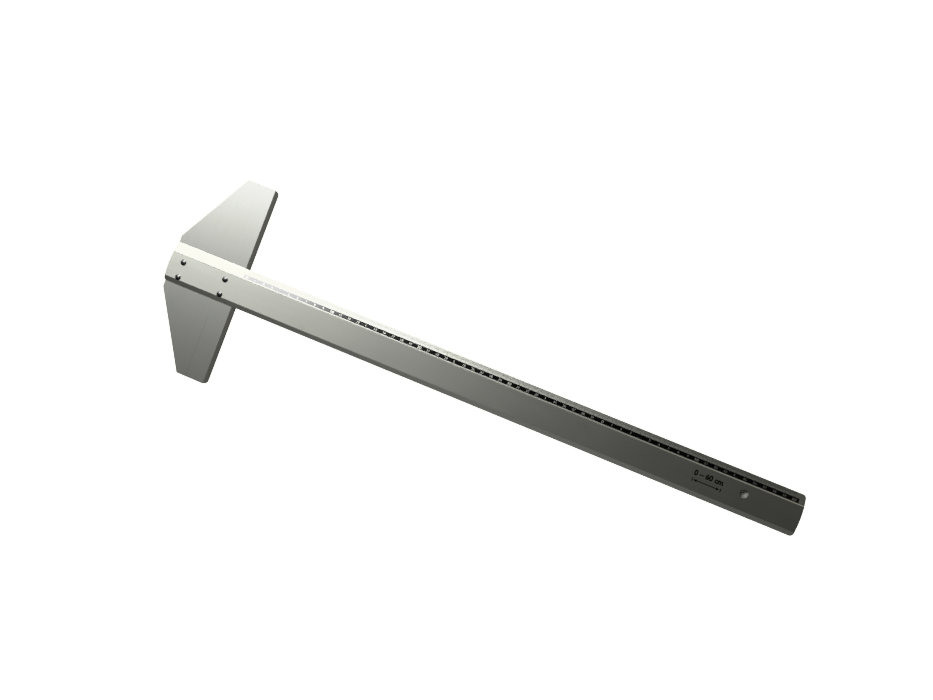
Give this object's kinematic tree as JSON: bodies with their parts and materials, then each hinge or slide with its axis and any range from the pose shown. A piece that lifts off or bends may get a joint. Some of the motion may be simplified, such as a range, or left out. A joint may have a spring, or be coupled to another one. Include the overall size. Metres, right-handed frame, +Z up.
{
  "type": "t-square",
  "caption": "Flat drafting T-square: a long bevelled blade with a graduated ruling edge and a hang hole, riveted on a tapered head with a bevelled working edge.",
  "frame": {"origin": "on the blade's underside, at the centreline of the blade, where the plane of the head's working edge meets the drawing surface", "axes": "+X along the blade towards its tip and away from the head's working edge, +Y towards the bevelled scale edge, +Z up out of the drawing surface, through the printed face"},
  "size_m": [0.7, 0.219, 0.0088],
  "materials": {
    "blade_metal": "brushed along the blade, clear anodised",
    "head_metal": "brushed along the head, clear anodised",
    "rivet_sleeve": "bright, domed flange",
    "rivet_mandrel": "broken stem, dull",
    "scale_print": "glossy black ink, with the numerals left bare in it"
  },
  "bodies": {
    "root": {"blade": "blade_metal", "head": "head_metal", "rivet_1": "rivet_sleeve", "rivet_2": "rivet_sleeve", "rivet_3": "rivet_sleeve", "rivet_4": "rivet_sleeve", "rivet_mandrel_1": "rivet_mandrel", "rivet_mandrel_2": "rivet_mandrel", "rivet_mandrel_3": "rivet_mandrel", "rivet_mandrel_4": "rivet_mandrel"}
  },
  "joints": []
}
